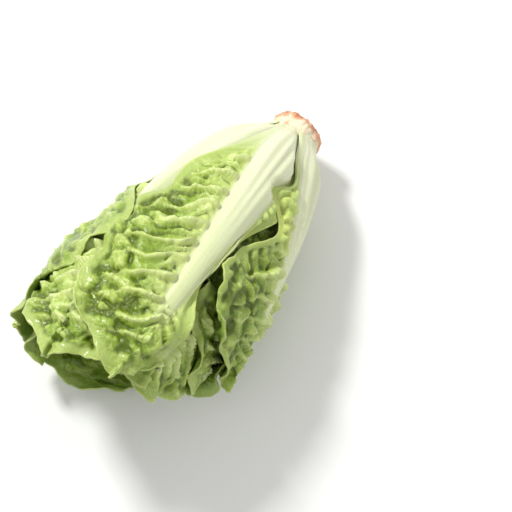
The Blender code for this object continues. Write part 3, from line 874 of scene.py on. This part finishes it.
def stemPiece(finish):
    sides, rings, radius = stem["sides"], stem["rings"], stem["radius"]
    turn = np.arange(sides) * 360.0 / sides
    share = np.linspace(0.0, 1.0, rings)
    path = np.array(stem["profile"])
    at = np.linspace(0.0, 1.0, len(path))
    along = np.interp(share, at, path[:, 0])
    around = np.interp(share, at, path[:, 1]) * radius
    wobble = np.ones(sides)
    for waves, start, depth in stem["wobble"]:
        wobble = wobble + depth * np.sin(np.radians(waves * turn + start))
    alongGrid = np.broadcast_to(along[:, None], (rings, sides))
    radiusGrid = around[:, None] * wobble[None, :]
    points = onHead(alongGrid, np.broadcast_to(turn[None, :], (rings, sides)), radiusGrid)
    index = np.arange(rings * sides).reshape(rings, sides)
    nextIndex = np.roll(index, -1, axis=1)
    quads = np.stack([index[:-1], index[1:], nextIndex[1:], nextIndex[:-1]], axis=-1).reshape(-1, 4)
    ends = [tuple(int(n) for n in index[0]), tuple(int(n) for n in index[-1][::-1])]
    mesh = bpy.data.meshes.new("stem")
    mesh.from_pydata((points.reshape(-1, 3) / perMetre).tolist(), [], quads.tolist() + ends)
    mesh.update()
    giveAttribute(mesh, "stemSpace", points)
    giveAttribute(mesh, "along", alongGrid)
    giveAttribute(mesh, "fromMiddle", radiusGrid / radius)
    giveAttribute(mesh, "rough", 1.0 - smooth(5.0, 12.0, alongGrid))
    maker = bpy.data.objects.new("stemMaker", mesh)
    bpy.context.scene.collection.objects.link(maker)
    return plainMesh(maker, stemTree(), {**stem["relief"], "Finish": finish}, "cutStem")


def stemFinish():
    material, tree, shader = newMaterial("cutStem")
    colour = {key: tint(*value) for key, value in stemColours.items()}
    place = attributeOf(tree, "stemSpace", vector=True)
    crease, along = attributeOf(tree, "crease"), attributeOf(tree, "along")
    patches = noiseOf(tree, place, stemPattern["patches"], 3.0, 0.6)
    specks = noiseOf(tree, place, stemPattern["specks"], 4.0, 0.7)
    cut = ranged(tree, along, 6.0, 1.0)
    rim = times(tree, ranged(tree, attributeOf(tree, "fromMiddle"), 0.55, 0.95), cut)
    aged = calc(tree, "MULTIPLY_ADD", rim, 0.22, patches)  # the cut browns from its rim inwards
    base = mixed(tree, ranged(tree, aged, 0.5, 0.66), colour["flesh"], colour["pink"])
    aged = calc(tree, "MULTIPLY_ADD", specks, 0.5, aged)
    brown = times(tree, ranged(tree, aged, 0.88, 1.02), calc(tree, "MULTIPLY_ADD", rim, 0.7, 0.1))
    base = mixed(tree, brown, base, colour["brown"])
    cracks = times(tree, ranged(tree, crease, -0.3, -0.9), cut, 0.55)
    base = mixed(tree, cracks, base, colour["dark"])
    feed(tree, shader.inputs["Base Color"], base)
    feed(tree, shader.inputs["Roughness"], calc(tree, "MULTIPLY_ADD", specks, 0.3, 0.42))
    bump = {"Height": specks, "Strength": 0.8, "Distance": stemPattern["speckDepth"]}
    feed(tree, shader.inputs["Normal"], put(tree, "ShaderNodeBump", bump).outputs[0])
    setGloss(shader, stemGloss)
    return material


def buildHead():
    outerFinish, innerFinish = leafFinish("outerLeaf"), leafFinish("innerLeaf")
    tree = puckerTree()
    room = np.full(roomShape, layering["mostRoom"])
    for k, leaf in enumerate(leafList()):
        node = f"leaf_{k + 1:02d}"
        outer = k < len(outerLeaves)
        piece = leafPiece(node, leaf, room, tree, outerFinish if outer else innerFinish)
        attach(piece, "root")
        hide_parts(node)
        print("laid", node, len(piece.data.polygons), "faces")
    piece = stemPiece(stemFinish())
    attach(piece, "root")
    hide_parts("stem")
    print("cut stem made")


# floor, light and camera
studio = {
    "azimuth": -53.0, "elevation": 75.0, "distance": 0.64, "lens": 90.0, "sensor": 36.0,
    "stemRight": 0.023, "stemUp": 0.0635,  # metres from the picture's middle to the cut face
    "floorSize": 6.0, "floorColour": (240, 240, 238), "world": 0.64, "lightDistance": 0.9,
    "keyPower": 6.4, "keySize": 0.14, "keyFrom": (-0.45, 0.75, 0.75),
    "fillPower": 1.2, "fillSize": 0.8, "fillFrom": (0.8, 0.1, 0.7),
}


def viewAxes():
    turn, lift = math.radians(studio["azimuth"]), math.radians(studio["elevation"])
    back = Vector((math.sin(turn) * math.cos(lift), -math.cos(turn) * math.cos(lift), math.sin(lift)))
    right = Vector((math.cos(turn), math.sin(turn), 0.0))
    return right, back.cross(right), back


def placeCamera():
    right, up, back = viewAxes()
    foot = Vector(head["cutFace"]) / perMetre
    aim = foot - right * studio["stemRight"] - up * studio["stemUp"]
    data = bpy.data.cameras.new("camera")
    data.lens, data.sensor_width = studio["lens"], studio["sensor"]
    camera = bpy.data.objects.new("camera", data)
    facing = Matrix((right, up, back)).transposed().to_4x4()
    camera.matrix_world = Matrix.Translation(aim + back * studio["distance"]) @ facing
    bpy.context.scene.collection.objects.link(camera)
    bpy.context.scene.camera = camera


def placeLight(name, power, size, direction):
    right, up, back = viewAxes()
    way = (right * direction[0] + up * direction[1] + back * direction[2]).normalized()
    data = bpy.data.lights.new(name, "AREA")
    data.energy, data.size = power, size
    light = bpy.data.objects.new(name, data)
    facing = way.to_track_quat("Z", "Y").to_matrix().to_4x4()
    light.matrix_world = Matrix.Translation(way * studio["lightDistance"]) @ facing
    bpy.context.scene.collection.objects.link(light)


def buildStudio():
    half = studio["floorSize"] / 2
    mesh = bpy.data.meshes.new("floor")
    corners = [(-half, -half, 0), (half, -half, 0), (half, half, 0), (-half, half, 0)]
    mesh.from_pydata(corners, [], [(0, 1, 2, 3)])
    floor = bpy.data.objects.new("floor", mesh)
    bpy.context.scene.collection.objects.link(floor)
    material, _, shader = newMaterial("paleFloor")
    shader.inputs["Base Color"].default_value = tint(*studio["floorColour"])
    shader.inputs["Roughness"].default_value = 0.9
    mesh.materials.append(material)
    placeLight("key", studio["keyPower"], studio["keySize"], studio["keyFrom"])
    placeLight("fill", studio["fillPower"], studio["fillSize"], studio["fillFrom"])
    world = bpy.data.worlds.new("studio")
    world.use_nodes = True
    background = world.node_tree.nodes["Background"]
    background.inputs["Color"].default_value = (1.0, 1.0, 1.0, 1.0)
    background.inputs["Strength"].default_value = studio["world"]
    bpy.context.scene.world = world
    bpy.context.scene.view_settings.view_transform = "Standard"
    placeCamera()
    print("studio set")


buildHead()
buildStudio()
